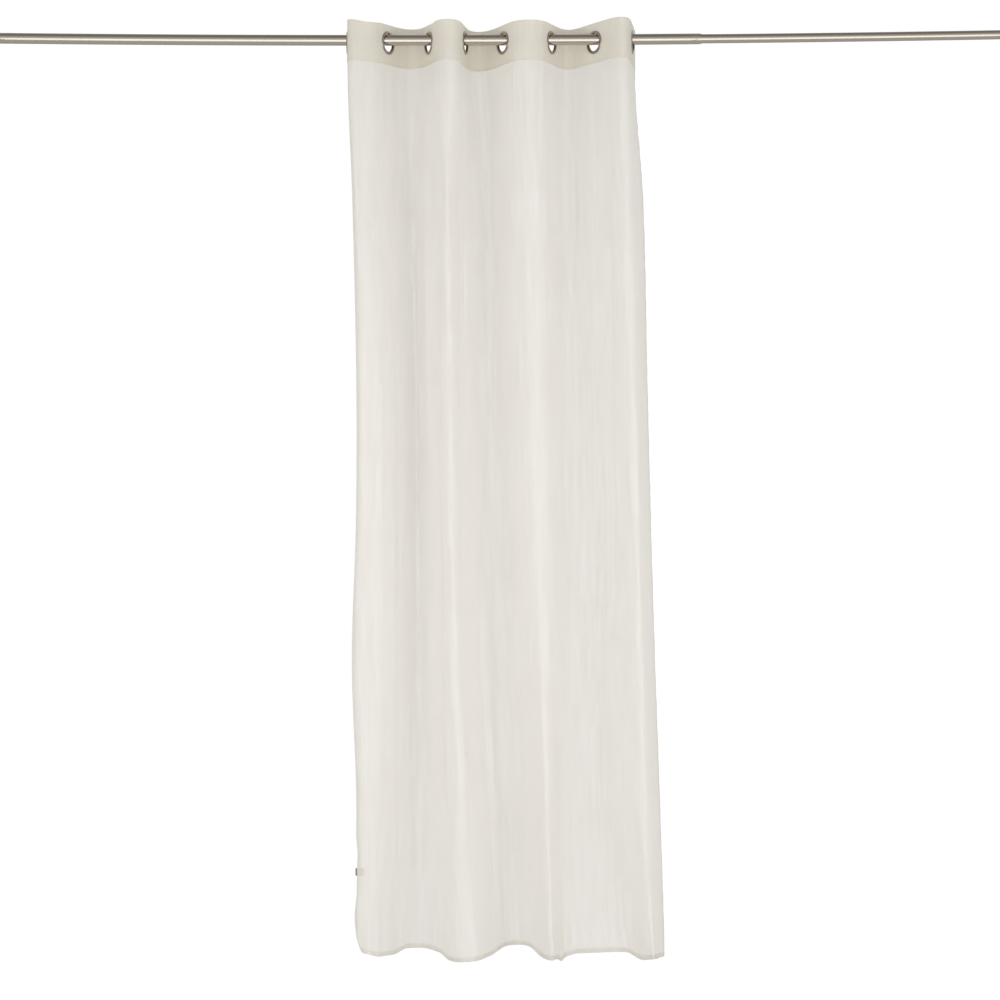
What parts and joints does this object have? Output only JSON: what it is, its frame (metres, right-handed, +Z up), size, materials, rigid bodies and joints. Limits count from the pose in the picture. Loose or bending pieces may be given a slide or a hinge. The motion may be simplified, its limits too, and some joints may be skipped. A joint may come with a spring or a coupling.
{
  "type": "sheer voile eyelet curtain hanging on a metal curtain rod",
  "caption": "Sheer voile curtain drawn together in soft upright folds, hanging by metal eyelets in its stiff heading from a slim extendable metal rod.",
  "frame": {"origin": "on the rod's axis, 0.40 m to the right of the curtain's first eyelet, halfway along the rod as built", "axes": "+X along the rod to the right as seen from the room, +Y away from the viewer, +Z up"},
  "size_m": [2.7, 0.1555, 2.4685],
  "materials": {
    "voile": "sheer ivory polyester voile, fine plain weave",
    "heading_cloth": "doubled ivory voile over a stiff band",
    "label_tape": "small blank woven label",
    "eyelet_nickel": "brushed dark nickel plate",
    "rod_steel": "satin nickel plated steel tube"
  },
  "bodies": {
    "root": {"rod_outer_tube": "rod_steel", "rod_inner_tube": "rod_steel", "heading_band": "heading_cloth", "curtain_panel": "voile", "side_label": "label_tape", "eyelet_1": "eyelet_nickel", "eyelet_2": "eyelet_nickel", "eyelet_3": "eyelet_nickel", "eyelet_4": "eyelet_nickel", "eyelet_5": "eyelet_nickel", "eyelet_6": "eyelet_nickel", "eyelet_7": "eyelet_nickel", "eyelet_8": "eyelet_nickel"}
  },
  "joints": []
}
